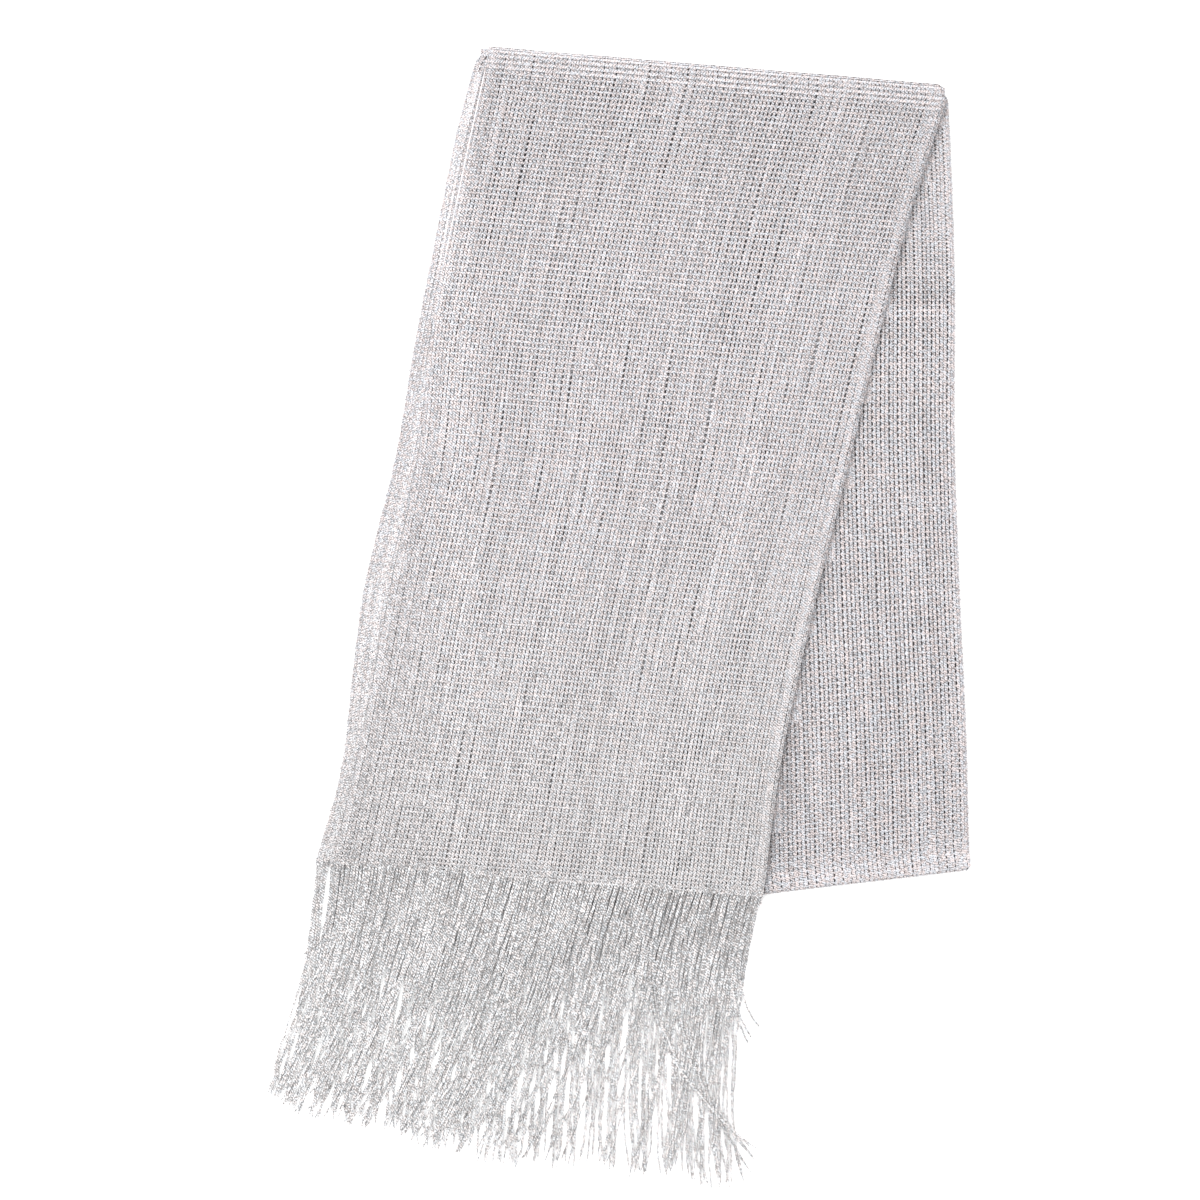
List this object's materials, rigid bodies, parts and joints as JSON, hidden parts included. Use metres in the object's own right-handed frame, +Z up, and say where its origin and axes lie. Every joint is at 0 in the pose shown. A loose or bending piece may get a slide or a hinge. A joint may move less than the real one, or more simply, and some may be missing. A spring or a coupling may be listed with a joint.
{
  "type": "evening stole",
  "caption": "Open-weave metallic evening stole with fringed ends, doubled lengthwise, folded across and laid flat.",
  "frame": {"origin": "on the surface that the stole lies on, under the middle of the folded bundle with its front fringe", "axes": "+X across the cloth towards the lengthwise fold, +Y from the front fringe to the top fold, +Z up"},
  "size_m": [0.4618, 0.7335, 0.009],
  "materials": {
    "front_cloth": "silver metallic yarn, open weave",
    "back_cloth": "silver metallic yarn, open weave, in the shade of the front fall",
    "fringe": "silver metallic yarn, loose twisted strands"
  },
  "bodies": {
    "root": {"front_fall": "front_cloth", "back_fall": "back_cloth", "under_fall": "back_cloth", "front_fringe_top": "fringe", "front_fringe_lower": "fringe", "under_fringe": "fringe"}
  },
  "joints": []
}
